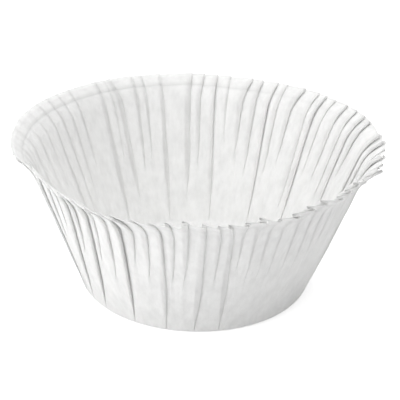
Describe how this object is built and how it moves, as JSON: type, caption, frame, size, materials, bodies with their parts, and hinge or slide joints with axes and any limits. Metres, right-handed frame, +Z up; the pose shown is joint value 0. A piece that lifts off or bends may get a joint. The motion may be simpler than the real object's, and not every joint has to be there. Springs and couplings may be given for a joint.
{
  "type": "cupcake liner",
  "caption": "Round pleated paper baking cup: one folded greaseproof sheet with a flat base, a sloping wall of knife pleats and a flared lip, open at the top.",
  "frame": {"origin": "middle of the flat base, on the surface it stands on", "axes": "+Z up out of the cup's mouth; +X and +Y across the base, with no front of its own"},
  "size_m": [0.0808, 0.0805, 0.0334],
  "materials": {
    "greaseproof_paper": "matt white greaseproof paper"
  },
  "bodies": {
    "root": {"pleated_liner": "greaseproof_paper"}
  },
  "joints": []
}
